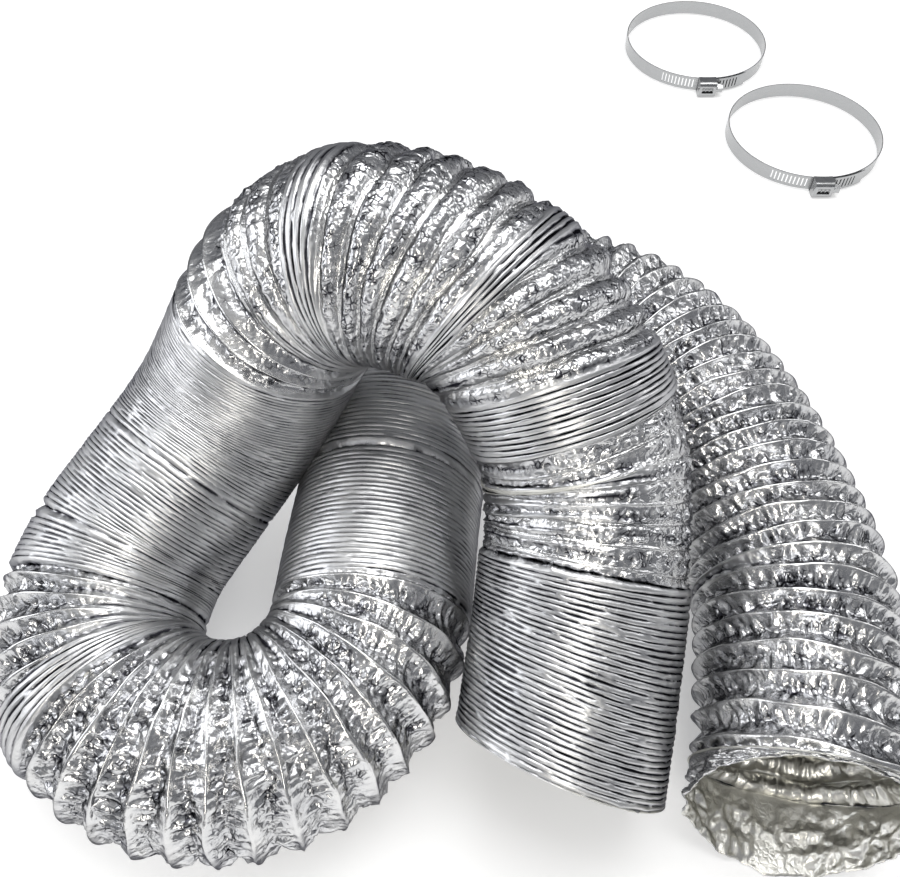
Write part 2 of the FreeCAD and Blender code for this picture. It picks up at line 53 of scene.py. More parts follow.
# The duct's route: x, y, and how far its axis rises over its height at rest
ROUTE = [
    (0.052, -0.183, -0.0063),
    (0.073, -0.076, 0.0538),
    (0.057, -0.042, 0.0925),
    (0.031, -0.017, 0.1255),
    (-0.008, -0.001, 0.1415),
    (-0.050, 0.012, 0.138),
    (-0.080, 0.013, 0.109),
    (-0.102, 0.002, 0.068),
    (-0.122, -0.017, 0.0405),
    (-0.148, -0.049, 0.023),
    (-0.175, -0.086, 0.007),
    (-0.181, -0.142, 0.0),
    (-0.139, -0.181, 0.0),
    (-0.082, -0.181, 0.0),
    (-0.043, -0.142, 0.0),
    (-0.039, -0.091, 0.0),
    (-0.034, -0.042, 0.0),
    (-0.026, 0.014, 0.0),
    (-0.016, 0.062, 0.0),
    (0.010, 0.098, 0.0),
    (0.051, 0.112, 0.0),
    (0.095, 0.099, 0.0),
    (0.130, 0.069, 0.0),
    (0.153, 0.027, 0.0),
    (0.168, -0.018, 0.0),
    (0.177, -0.067, 0.0),
    (0.182, -0.116, 0.0),
    (0.157, -0.230, 0.0),
]
# From the route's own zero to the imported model's, with the axis at its height at rest
ROUTE_PLACE = (-0.0633, -0.1544, 0.0513)
ROUTE_LENGTH = 1.4472
ROUTE_RESOLUTION = 16
ROUTE_SAMPLES = 6001
# How far on either side of a place the route's heading and bend are measured, how near to its ends, and
# how far back for the heading of a ring that a piece starts from
HEADING_REACH = 1 * MM
BEND_REACH = 2 * MM
ROUTE_MARGIN = 3 * MM
RING_REACH = 4 * MM

CREST_RADIUS = 0.0518
# How far the foil falls from its crest: drawn out over a proud wire, drawn out furthest, swollen between
# turns, and squeezed
PROUD_DEPTH = 0.0054
FURTHEST_DEPTH = 0.0085
SWOLLEN_DEPTH = 0.0050
SQUEEZED_DEPTH = 0.0021
# The room from turn to turn: the least, squeezed, drawn out, and from where to where the foil falls on to
# its furthest
LEAST_PITCH = 0.0008
SQUEEZED_PITCH = 0.0044
DRAWN_PITCH = 0.0100
FURTHEST_PITCHES = (0.012, 0.026)

# How far the foil falls, as a share of its depth, from the valley between turns, at 0, to the wire, at
# 1, and how freely it crumples there
PROUD = [(0.0, 1.0), (0.21, 0.86), (0.41, 0.66), (0.59, 0.47), (0.76, 0.3), (0.9, 0.13), (1.0, 0.0)]
SWOLLEN = [(0.0, 0.0), (0.21, 0.04), (0.41, 0.16), (0.59, 0.38), (0.76, 0.72), (0.9, 1.0), (1.0, 0.7)]
HELD = [(0.0, 1.0), (0.41, 1.0), (0.59, 0.9), (0.76, 0.5), (0.9, 0.08), (1.0, 0.0)]
SQUEEZED = [(0.0, 1.0), (0.12, 0.6), (0.25, 0.2), (0.5, 0.03), (1.0, 0.0)]

# Stretches along the route: length, turns of wire, how far the foil swells between the turns, how sharply
# it is folded into facets, and how deep the grooves are where it is squeezed
Stretch = namedtuple("Stretch", "length turns swell folds groove")
STRETCHES = [
    Stretch(0.092, 34, 0.0, 0.4, 1.1),
    Stretch(0.078, 8, 0.55, 0.75, 0.6),
    Stretch(0.024, 10, 0.0, 0.3, 1.2),
    Stretch(0.042, 4, 1.0, 0.5, 0.6),
    Stretch(0.008, 4, 0.0, 0.3, 1.2),
    Stretch(0.060, 6, 1.0, 0.45, 0.6),
    Stretch(0.010, 4, 0.0, 0.3, 1.1),
    Stretch(0.025, 3, 0.8, 0.5, 0.6),
    Stretch(0.040, 3, 0.0, 0.4, 0.6),
    Stretch(0.090, 39, 0.0, 0.3, 0.45),
    Stretch(0.006, 1, 0.0, 0.9, 0.6),
    Stretch(0.048, 20, 0.0, 0.3, 0.45),
    Stretch(0.007, 1, 0.0, 0.9, 0.6),
    Stretch(0.020, 8, 0.0, 0.3, 0.5),
    Stretch(0.048, 5, 0.0, 1.2, 0.6),
    Stretch(0.014, 5, 0.0, 0.3, 1.2),
    Stretch(0.170, 15, 0.15, 1.0, 0.6),
    Stretch(0.070, 26, 0.0, 0.5, 0.3),
    Stretch(0.007, 1, 0.0, 0.9, 0.6),
    Stretch(0.138, 50, 0.0, 0.5, 0.3),
    Stretch(0.3282, 27, 0.0, 1.2, 0.6),
    Stretch(0.054, 4, 0.0, 1.2, 0.6),
    Stretch(0.030, 2, 0.0, 1.0, 0.6),
]
END_TURN = sum(stretch.turns for stretch in STRETCHES)
# How far one stretch eases into the next
EASING = 0.0045
STEPS_PER_TURN = 8
# Past the last turn, and from this part of a turn before it, the foil is laid in a tight ring
END_PITCH = 1 * MM
END_PART = 0.1

# How far each ring leans ahead on its left and at its top, by its place along the route
LEANS = [
    (0.0, -0.20, 0.0),
    (0.05, -0.2, 0.0),
    (0.09, -0.08, 0.0),
    (0.12, 0.03, 0.0),
    (0.16, 0.0, 0.0),
    (0.19, -0.2, 0.0),
    (0.215, -0.3, 0.0),
    (0.24, -0.2, 0.0),
    (0.28, -0.1, 0.0),
    (0.32, 0.0, 0.0),
    (1.34, 0.0, 0.0),
    (1.40, 0.0, 0.09),
]

# Noise on the foil: how fine it is, its detail, its seed, and how much it counts
Noise = namedtuple("Noise", "scale detail seed amount", defaults=(1.0,))
# Metres outwards, smoothly and from ring to ring
SWAY = Noise(40.0, 2.0, 3.0, 0.0003)
UNEVEN = Noise(32.0, 2.0, 9.0, 0.0004)
# Shares of the pitch along the duct, for the loose foil and from ring to ring
RIPPLE = Noise(130.0, 2.0, 5.0, 0.25)
WANDER = Noise(26.0, 1.0, 7.0, 0.24)
# Breaks in the squeezed grooves, with the grooves' middle depth and the greatest
DASHES = Noise(110.0, 3.0, 3.0, 2.6)
DASH_MIDDLE = 0.9
DASH_MOST = 1.8

# Facets between creases: how fine they are, their seed, and how far they stand out
Facets = namedtuple("Facets", "scale seed height")
LARGE_FACETS = Facets(150.0, 1.0, 0.0070)
SMALL_FACETS = Facets(310.0, 2.0, 0.0034)
# How far the middle of a facet is from its creases, and how finely and how far the creases are bent
FACET_MIDDLE = 0.2
CREASE_BENDS = 0.7
CREASE_BENDING = 0.9
# How loose squeezed foil is, beside drawn-out foil
LEAST_LOOSE = 0.05
# How near to a crease the foil is folded in, and how much painted shade darkens it there
FOLD_WIDTH = 0.13
FOLD_SHADE = 0.35

# The ring and the steps from turn to turn on which the noise is laid out: as on the flat strip, for long
# facets, and with each ring apart from the next
NOISE_RING = 0.05
FLAT_STEP = 0.0125
LONG_STEP = 0.006
APART_STEP = 0.05

# The thickness of the foil where both of its sides are seen
PLY = 0.0004
# The turns at the front mouth between which the painted shade in the grooves grows dark
GROOVE_SHADE_TURNS = (0.3, 1.6)
# How far the lowest foil lies over the floor, and how near two points are to be made one
FLOOR_GAP = 0.00015
WELD = 0.00001

# Rows across the foil strip and how they crowd, and the faces round each turn
DRAWN = {"Rows": 12, "Crowding": 1.3}
SQUEEZED_FINE = {"Rows": 4, "Crowding": 0.5}
INNER = {"Rows": 4, "Crowding": 1.0}
FINE_SEGMENTS = 288
INNER_SEGMENTS = 40
DUCT_SEED = 1.0
# The inner ply: the turns it runs between, how far in it lies, and how far its exit is over its axis
INNER_TURNS = (40, 274)
INNER_INSET = 0.0040

# The bare foil past the last turn of wire: its length at its lowest, how much of it is cut away at its
# top, and how sharply the cut slants
SKIRT_LENGTH = 0.038
SKIRT_CUT_BACK = 0.0365
SKIRT_SLANT = 0.8
# How far it starts under the crests, how far its lip flares, and how low it may lie
SKIRT_TUCK = 0.0004
SKIRT_LIP = 0.0012
SKIRT_LOWEST = 0.0010
# The share of its length over which the wire still holds it, and how much calmer its cut and its ripples
# are at its top
SKIRT_HELD = 0.35
CALMER_RAGS = 0.7
CALMER_RIPPLE = 0.8
# Where along its length the painted highlight at its start fades, by how much, and how finely it is
# creased
SKIRT_HIGHLIGHT_FADE = (0.04, 0.12)
SKIRT_HIGHLIGHT_FADING = 0.5
SKIRT_FINE = 0.3
SKIRT_VERTICES = (289, 29)
SKIRT_SEED = 3.0
SKIRT_FACETS = (Facets(60.0, 1.0, 0.0085), Facets(140.0, 2.0, 0.0042), Facets(300.0, 4.0, 0.0016))
SKIRT_RAGS = Noise(60.0, 4.0, 2.0, 0.0030)
SKIRT_WAVES = Noise(32.0, 2.0, 3.0, 0.0035)
SKIRT_RIPPLE = Noise(90.0, 2.0, 6.0, 0.002)

# The worm screws' thread, which runs in the band's slots
CLAMPS = {"clamp_1": (0.16663, 0.329544, 0.0071), "clamp_2": (0.2377, 0.1936, 0.0071)}
SCREW_OFFSET = 0.06955
SHANK_RADIUS = 0.0033
THREAD_PITCH = 0.0031
THREAD_HEIGHT = 0.00042
THREAD_TURNS = 3.4
THREAD_STEPS = 48
# The shares of its pitch that are its foot and its tip
THREAD_FOOT = 0.56
THREAD_TIP = 0.3

# The two sides of the foil: tints from dark to bright, the tint at its edges, how deep its fine creases
# are, how much painted shade darkens their lines and the squeezed grooves, and how rough it is
FoilLook = namedtuple("FoilLook", "tints edge fine_depth strokes dimming roughness")
OUTER_LOOK = FoilLook(
    tints=[(0.0, (0.05, 0.05, 0.06)), (0.25, (0.60, 0.605, 0.62)), (0.85, (0.80, 0.80, 0.79))],
    edge=(0.06, 0.06, 0.08),
    fine_depth=0.0007,
    strokes=0.9,
    dimming=0.8,
    roughness=0.24,
)
LINING_LOOK = FoilLook(
    tints=[(0.0, (0.2, 0.2, 0.19)), (0.25, (0.68, 0.675, 0.64)), (0.85, (0.92, 0.91, 0.86))],
    edge=(0.4, 0.4, 0.38),
    fine_depth=0.0005,
    strokes=0.0,
    dimming=0.15,
    roughness=0.36,
)
GRIT = Noise(500.0, 2.0, 6.0, 0.05)
FINE_FACETS = Facets(330.0, 1.0, 1.0)
# How strong the fine creases are: on free foil, where a piece is marked as fine, and everywhere
FREE_CREASES = 0.35
FINE_CREASES = 0.35
LEAST_CREASES = 0.10
# The creases' dark lines of painted shade: how near to a crease they reach, their breaks, and the middle
# of these
LINE_WIDTH = 0.12
LINE_BREAKS = Noise(160.0, 2.0, 8.0, 2.5)
LINE_MIDDLE = 0.2
# The foil's tone, from dark at 0: its middle, its least, and what clouds, slack foil and the crests add;
# the crests add a painted highlight on the wire and painted shade in the valleys
CLOUDS = Noise(45.0, 4.0, 2.0, 0.45)
TONE_MIDDLE = 0.42
TONE_LEAST = 0.25
TONE_OF_SLACK = 0.08
CREST_HIGHLIGHT_AND_SHADE = 0.25
CREST_MIDDLE = 0.6
# What clouds and squeezed foil add to the roughness
ROUGH_OF_CLOUDS = 0.05
ROUGH_OF_SQUEEZED = 0.13

STEEL_TINTS = [(0.0, (0.33, 0.34, 0.35)), (1.0, (0.50, 0.50, 0.50))]
STEEL_ROUGHNESS = 0.21
# Its scratches, how far they are drawn out along the band, how strong they are, and how deep
STEEL_GRAIN = Noise(5000.0, 3.0, 1.0, 0.05)
GRAIN_ALONG = 0.05
GRAIN_STRENGTH = 0.15
GRAIN_DEPTH = 0.0003

CAMERA_PLACE = (-0.0633, -0.4591, 0.4871)
# Degrees below level, and the length of the lens and the width of the sensor in millimetres
CAMERA_DOWN = 55
CAMERA_LENS = 36
CAMERA_SENSOR = 36

FLOOR_REACH = 8.0
FLOOR_COLOUR = (0.80, 0.80, 0.80)
FLOOR_ROUGHNESS = 0.9
FLOOR_GLOW = 0.33
SKY = [(0.0, (0.20, 0.205, 0.22)), (0.5, (0.22, 0.225, 0.24)), (1.0, (0.55, 0.55, 0.55))]
WHITE = (1, 1, 1)
Lamp = namedtuple("Lamp", "name place target size power colour", defaults=(WHITE,))
LAMPS = [
    Lamp("left_window", (-1.55, -0.15, 0.75), (-0.05, -0.1, 0.1), (1.6, 1.0), 11, (0.97, 0.98, 1.0)),
    Lamp("front_strip", (-0.15, -1.35, 0.85), (-0.08, -0.1, 0.1), (0.14, 0.9), 5, (1.0, 0.96, 0.88)),
    Lamp("above", (0.1, 0.15, 1.7), (0, -0.1, 0.05), (1.4, 1.1), 18),
    Lamp("right", (1.4, 0.2, 0.75), (0.1, -0.1, 0.05), (0.5, 0.8), 3),
]


# Nodes

class Field:
    """A node's output that is added, multiplied and so on like a number or an arrow."""

    def __init__(self, tree, socket):
        self.tree = tree
        self.socket = socket

    def _op(self, operation, *others, swapped=False):
        arrows = [o for o in (self, *others) if isinstance(o, Field) and o.socket.type == "VECTOR"]
        kind = "ShaderNodeVectorMath" if arrows else "ShaderNodeMath"
        node = self.tree.nodes.new(kind)
        node.operation = operation
        values = [self, *others]
        if swapped:
            values.reverse()
        for socket, value in zip(node.inputs, values):
            if isinstance(value, Field):
                self.tree.links.new(value.socket, socket)
            elif socket.type == "VECTOR" and not hasattr(value, "__len__"):
                socket.default_value = (value, value, value)
            else:
                socket.default_value = value
        return Field(self.tree, node.outputs[0])

    def __add__(self, other):
        return self._op("ADD", other)

    def __radd__(self, other):
        return self._op("ADD", other)

    def __sub__(self, other):
        return self._op("SUBTRACT", other)

    def __rsub__(self, other):
        return self._op("SUBTRACT", other, swapped=True)

    def __mul__(self, other):
        return self._op("MULTIPLY", other)

    def __pow__(self, other):
        return self._op("POWER", other)

    def floor(self):
        return self._op("FLOOR")

    def size(self):
        return self._op("ABSOLUTE")

    def sign(self):
        return self._op("SIGN")

    def cosine(self):
        return self._op("COSINE")

    def sine(self):
        return self._op("SINE")

    def at_least(self, other):
        return self._op("MAXIMUM", other)

    def at_most(self, other):
        return self._op("MINIMUM", other)

    def dot(self, other):
        """How far one arrow reaches along another."""
        return out(self._op("DOT_PRODUCT", other).socket.node, "Value")


def add_node(tree, kind, inputs=None, **settings):
    """A node with its settings, and each input joined to a field or set to a value."""
    node = tree.nodes.new(kind)
    for name, value in settings.items():
        setattr(node, name, value)
    for key, value in (inputs or {}).items():
        if isinstance(value, Field):
            tree.links.new(value.socket, node.inputs[key])
        elif isinstance(value, bpy.types.NodeSocket):
            tree.links.new(value, node.inputs[key])
        else:
            node.inputs[key].default_value = value
    return node


def out(node, key=0):
    """One output of a node as a field."""
    return Field(node.id_data, node.outputs[key])


def arrow(tree, x, y, z):
    return out(add_node(tree, "ShaderNodeCombineXYZ", {"X": x, "Y": y, "Z": z}))


def parts_of(field):
    """The x, y and z of an arrow."""
    node = add_node(field.tree, "ShaderNodeSeparateXYZ", {0: field})
    return [out(node, key) for key in ("X", "Y", "Z")]


def rough_noise(place, noise):
    """Noise from -1 to 1 or so, before it is given its amount."""
    node = add_node(
        place.tree,
        "ShaderNodeTexNoise",
        {"Vector": place + (noise.seed, 0.0, 0.0), "Scale": noise.scale, "Detail": noise.detail},
    )
    return out(node, 0) * 2.0 - 1.0


def creases(place, facets):
    """How far a point is from the nearest crease of a crumpled sheet, before it is given its height."""
    warp = add_node(
        place.tree,
        "ShaderNodeTexNoise",
        {"Vector": place, "Scale": facets.scale * CREASE_BENDS, "Detail": 1.0},
    )
    bent = place + out(warp, 1) * (CREASE_BENDING / facets.scale)
    node = add_node(
        place.tree,
        "ShaderNodeTexVoronoi",
        {"Vector": bent + (facets.seed, 0.0, 0.0), "Scale": facets.scale},
        feature="DISTANCE_TO_EDGE",
    )
    return out(node, "Distance")


def profile(value, points):
    """A value read through a curve with these points."""
    node = add_node(value.tree, "ShaderNodeFloatCurve", {"Value": value})
    curve = node.mapping.curves[0]
    for place, height in points[1:-1]:
        curve.points.new(place, height)
    for point, (place, height) in zip(curve.points, points):
        point.location = (place, height)
    node.mapping.update()
    return out(node)


def share_of(value, low, high):
    """From 0 at the low value to 1 at the high one."""
    limits = {"Value": value, "From Min": low, "From Max": high}
    return out(add_node(value.tree, "ShaderNodeMapRange", limits))


def blended(first, second, share):
    """From the first value to the second."""
    return first + (second - first) * share


# The route and its turns

def smooth_line():
    """Points along the smooth line that has the route's points as its control points."""
    data = bpy.data.curves.new("route", "CURVE")
    data.dimensions = "3D"
    data.resolution_u = ROUTE_RESOLUTION
    spline = data.splines.new("NURBS")
    spline.points.add(len(ROUTE) - 1)
    for point, place in zip(spline.points, ROUTE):
        point.co = (*(np.array(place) + ROUTE_PLACE), 1)
    spline.order_u = 3
    spline.use_endpoint_u = True
    holder = bpy.data.objects.new("route", data)
    mesh = bpy.data.meshes.new_from_object(holder)
    points = np.array([v.co for v in mesh.vertices])
    bpy.data.meshes.remove(mesh)
    bpy.data.objects.remove(holder)
    bpy.data.curves.remove(data)
    return points


def running_length(points):
    return np.concatenate([[0], np.cumsum(np.linalg.norm(np.diff(points, axis=0), axis=1))])


def points_at(lengths):
    """Points at these lengths along the route."""
    along = running_length(line)
    return np.stack([np.interp(lengths, along, line[:, k]) for k in range(3)], axis=1)


def along_stretches(values):
    """One value of each stretch, all along the route, with each stretch easing into the next."""
    ends = np.cumsum([0] + [stretch.length for stretch in STRETCHES]) * along_route[-1] / ROUTE_LENGTH
    steps = np.full(len(along_route), float(values[-1]))
    for value, start, end in zip(values, ends, ends[1:]):
        steps[(along_route >= start) & (along_route < end)] = value
    width = int(EASING / (along_route[1] - along_route[0]))
    window = np.hanning(2 * width + 1)
    return np.convolve(np.pad(steps, width, mode="edge"), window / window.sum(), mode="valid")


def frame_at(length):
    """(place, ahead, beside, over) of the ring at a length along the route."""
    place = Vector(points_at([length])[0])
    ahead = (place - Vector(points_at([length - RING_REACH])[0])).normalized()
    beside = ahead.cross(Vector((0, 0, 1))).normalized()
    return place, ahead, beside, beside.cross(ahead)


def heading(lengths):
    """The route's direction at these lengths."""
    ahead = points_at(lengths + HEADING_REACH) - points_at(lengths - HEADING_REACH)
    return ahead / np.linalg.norm(ahead, axis=1)[:, None]


LEAN_PLACES, LEANS_ON_LEFT, LEANS_AT_TOP = zip(*LEANS)
line = smooth_line()
along_route = np.linspace(0, running_length(line)[-1], ROUTE_SAMPLES)
stretch_scale = along_route[-1] / ROUTE_LENGTH
turns_per_metre = along_stretches([s.turns / (s.length * stretch_scale) for s in STRETCHES])
turn_there = np.concatenate(
    [[0], np.cumsum((turns_per_metre[1:] + turns_per_metre[:-1]) / 2 * np.diff(along_route))]
)


def turn_line(name, first, last):
    """A line of points that carry each ring's directions and the foil's state there."""
    count = (last - first + 1) * STEPS_PER_TURN + 2
    turns = first + np.arange(count) / STEPS_PER_TURN
    lengths = np.interp(np.minimum(turns, END_TURN), turn_there, along_route)
    inside = np.clip(lengths, ROUTE_MARGIN, along_route[-1] - ROUTE_MARGIN)
    ahead = heading(inside)
    bend = (heading(inside + BEND_REACH) - heading(inside - BEND_REACH)) / (2 * BEND_REACH)
    beside = np.cross(ahead, (0, 0, 1))
    beside /= np.linalg.norm(beside, axis=1)[:, None]
    over = np.cross(beside, ahead)
    arrows = {"ahead": ahead, "beside": beside, "over": over, "bend": bend}
    pitch = 1 / np.interp(lengths, along_route, turns_per_metre)
    numbers = {
        "turn": turns,
        "pitch": np.where(turns > END_TURN - END_PART, END_PITCH, pitch),
        "lean": np.interp(lengths, LEAN_PLACES, LEANS_ON_LEFT),
        "tip": np.interp(lengths, LEAN_PLACES, LEANS_AT_TOP),
    }
    for label in ("swell", "folds", "groove"):
        values = along_stretches([getattr(stretch, label) for stretch in STRETCHES])
        numbers[label] = np.interp(lengths, along_route, values)

    mesh = bpy.data.meshes.new(name)
    centres = [tuple(centre) for centre in points_at(lengths)]
    mesh.from_pydata(centres, [(i, i + 1) for i in range(count - 1)], [])
    for label, values in arrows.items():
        attribute = mesh.attributes.new(label, "FLOAT_VECTOR", "POINT")
        attribute.data.foreach_set("vector", values.astype(np.float32).ravel())
    for label, values in numbers.items():
        attribute = mesh.attributes.new(label, "FLOAT", "POINT")
        attribute.data.foreach_set("value", values.astype(np.float32))
    return new_object(name, mesh)


def new_object(name, data):
    thing = bpy.data.objects.new(name, data)
    bpy.context.collection.objects.link(thing)
    return thing


# Geometry trees

def new_tree(name, inputs):
    """A geometry tree and its named inputs, each of which is a field."""
    tree = bpy.data.node_groups.new(name, "GeometryNodeTree")
    tree.interface.new_socket(name="Geometry", in_out="OUTPUT", socket_type="NodeSocketGeometry")
    tree.interface.new_socket(name="Geometry", in_out="INPUT", socket_type="NodeSocketGeometry")
    for label, kind in inputs.items():
        tree.interface.new_socket(name=label, in_out="INPUT", socket_type="NodeSocket" + kind)
    entry = tree.nodes.new("NodeGroupInput")
    return tree, {label: out(entry, label) for label in ("Geometry", *inputs)}


def ring_way(tree, angle, beside, over):
    """The outward direction at an angle round a ring."""
    return beside * angle.cosine() + over * angle.sine()


def noise_place(tree, angle, height):
    """Where noise is read for an angle round a ring, so that it closes round the ring."""
    return arrow(tree, angle.cosine() * NOISE_RING, angle.sine() * NOISE_RING, height)


def grid_position(tree):
    return parts_of(out(add_node(tree, "GeometryNodeInputPosition")))


def sampled(tree, points, label, kind, lower, share):
    """A value of the turn line, between two of its points."""
    if label == "position":
        value = out(add_node(tree, "GeometryNodeInputPosition"))
    else:
        value = out(add_node(tree, "GeometryNodeInputNamedAttribute", {"Name": label}, data_type=kind))
    found = []
    for index in (lower, lower + 1.0):
        node = add_node(
            tree,
            "GeometryNodeSampleIndex",
            {"Geometry": points, "Value": value, "Index": index},
            data_type=kind,
            domain="POINT",
        )
        found.append(out(node))
    return blended(found[0], found[1], share)


def pleated_wall_tree():
    """The foil strip wound round a turn line, with its middle on the wire and its edges between turns."""
    tree, given = new_tree(
        "Pleated wall",
        {
            "Turns": "Int",
            "Segments": "Int",
            "Rows": "Int",
            "Crowding": "Float",
            "Steps per turn": "Float",
            "Inset": "Float",
            "Wall": "Float",
            "Crumple": "Float",
            "Seed": "Float",
            "Foil": "Material",
            "Lining": "Material",
        },
    )
    turns = given["Turns"]
    grid = add_node(
        tree,
        "GeometryNodeMeshGrid",
        {
            "Size X": turns,
            "Size Y": 1.0,
            "Vertices X": turns * given["Segments"] + 1.0,
            "Vertices Y": given["Rows"] + 1.0,
        },
    )
    x, y, _ = grid_position(tree)
    round_turn = x + turns * 0.5
    # Rows crowd where the foil turns sharply, towards the wire over 1 and towards the grooves under it
    side = y * 2.0
    across = side.sign() * side.size() ** given["Crowding"]
    rise = 1.0 - across.size()
    step = (round_turn + across * 0.5 + 0.5) * given["Steps per turn"]
    lower = step.floor()
    between = (lower, step - lower)
    centre, ahead, beside, over, bend = (
        sampled(tree, given["Geometry"], label, "FLOAT_VECTOR", *between)
        for label in ("position", "ahead", "beside", "over", "bend")
    )
    turn, pitch, lean, tip, swell, folds, groove = (
        sampled(tree, given["Geometry"], label, "FLOAT", *between)
        for label in ("turn", "pitch", "lean", "tip", "swell", "folds", "groove")
    )

    angle = round_turn * (2 * math.pi)
    outward = ring_way(tree, angle, beside, over)
    # The foil is drawn further on the outside of a bend than on its inside
    local_pitch = (pitch * (1.0 - bend.dot(outward) * CREST_RADIUS)).at_least(LEAST_PITCH)
    slack = share_of(local_pitch, SQUEEZED_PITCH, DRAWN_PITCH)

    # Creases are laid out on the flat strip, so they follow it as it is drawn out or squeezed
    flat, long, apart = (
        noise_place(tree, angle, turn * turn_step + given["Seed"])
        for turn_step in (FLAT_STEP, LONG_STEP, APART_STEP)
    )
    dashes = (rough_noise(apart, DASHES) * DASHES.amount + DASH_MIDDLE).at_least(0.0).at_most(DASH_MOST)
    pinched = profile(rise, SQUEEZED) * groove * dashes
    furthest = share_of(local_pitch, *FURTHEST_PITCHES)
    proud_depth = PROUD_DEPTH + furthest * (FURTHEST_DEPTH - PROUD_DEPTH)
    proud = profile(rise, PROUD) * proud_depth
    drawn = blended(proud, profile(rise, SWOLLEN) * SWOLLEN_DEPTH, swell)
    fall = blended(pinched * SQUEEZED_DEPTH, drawn, slack)

    loose = profile(rise, HELD) * (LEAST_LOOSE + slack * (1.0 - LEAST_LOOSE)) * folds
    large = creases(flat, LARGE_FACETS) - FACET_MIDDLE
    small = creases(long, SMALL_FACETS) - FACET_MIDDLE
    facets = (large * LARGE_FACETS.height + small * SMALL_FACETS.height) * loose
    sway = rough_noise(flat, SWAY) * SWAY.amount
    uneven = rough_noise(apart, UNEVEN) * UNEVEN.amount
    radial = facets + sway + uneven
    ripple = rough_noise(flat, RIPPLE) * loose * RIPPLE.amount
    wander = rough_noise(apart, WANDER) * WANDER.amount
    along = (ripple + wander) * local_pitch
    lift = CREST_RADIUS - fall - given["Inset"] + radial * given["Crumple"]
    leant = lean * angle.cosine() + tip * angle.sine()
    shift = along * given["Crumple"] + leant * CREST_RADIUS
    place = centre + outward * lift + ahead * shift
    lowest = given["Inset"] + given["Wall"] * 1.5 + FLOOR_GAP

    # Painted shade: the grooves are darkened where the foil is squeezed, and so are its creases that fold
    # inwards
    dim = pinched.at_most(1.0) * (1.0 - slack) * share_of(turn, *GROOVE_SHADE_TURNS)
    shaded_fold = share_of(small + FACET_MIDDLE, FOLD_WIDTH, 0.0) * loose.at_most(1.0)
    dim = dim + shaded_fold * FOLD_SHADE
    marks = {"rise": rise, "slack": slack, "fine": slack * swell, "dim": dim}
    finish_foil(tree, given, grid, place, lowest, marks)
    return tree


def skirt_tree():
    """Bare foil past the last turn of wire, cut off at a slant and crumpled."""
    tree, given = new_tree(
        "Bare skirt",
        {
            "Start": "Vector",
            "Ahead": "Vector",
            "Beside": "Vector",
            "Over": "Vector",
            "Length": "Float",
            "Cut back": "Float",
            "Tip": "Float",
            "Wall": "Float",
            "Seed": "Float",
            "Foil": "Material",
            "Lining": "Material",
        },
    )
    vertices_x, vertices_y = SKIRT_VERTICES
    size = {"Size X": 1.0, "Size Y": 1.0, "Vertices X": vertices_x, "Vertices Y": vertices_y}
    grid = add_node(tree, "GeometryNodeMeshGrid", size)
    x, y, _ = grid_position(tree)
    angle = (x + 0.5) * (2 * math.pi)
    down = y + 0.5
    outward = ring_way(tree, angle, given["Beside"], given["Over"])
    edge = noise_place(tree, angle, given["Seed"])
    flat = noise_place(tree, angle, down * given["Length"] + given["Seed"])
    upper = angle.sine() * 0.5 + 0.5
    ragged = rough_noise(edge, SKIRT_RAGS) * (1.0 - upper * CALMER_RAGS) * SKIRT_RAGS.amount
    length = given["Length"] - given["Cut back"] * upper ** SKIRT_SLANT + ragged
    free = share_of(down, 0.0, SKIRT_HELD)
    large, middle, small = (
        (creases(flat, facets) - FACET_MIDDLE) * facets.height for facets in SKIRT_FACETS
    )
    waves = rough_noise(flat, SKIRT_WAVES) * SKIRT_WAVES.amount
    crumpled = (large + middle + small + waves) * free
    radius = CREST_RADIUS - SKIRT_TUCK + down * down * SKIRT_LIP + crumpled
    leant = given["Tip"] * angle.sine() * CREST_RADIUS
    calm = 1.0 - upper * CALMER_RIPPLE
    ripple = rough_noise(flat, SKIRT_RIPPLE) * calm * free * SKIRT_RIPPLE.amount
    along = leant + down * length + ripple
    place = given["Start"] + outward * radius + given["Ahead"] * along
    zero = down * 0.0
    # Painted highlight: the foil is bright at its start, as on a crest, and fades along its length
    rim_highlight = 1.0 - share_of(down, *SKIRT_HIGHLIGHT_FADE) * SKIRT_HIGHLIGHT_FADING
    marks = {"rise": rim_highlight, "slack": zero + 1.0, "fine": zero + SKIRT_FINE, "dim": zero}
    finish_foil(tree, given, grid, place, SKIRT_LOWEST, marks)
    return tree


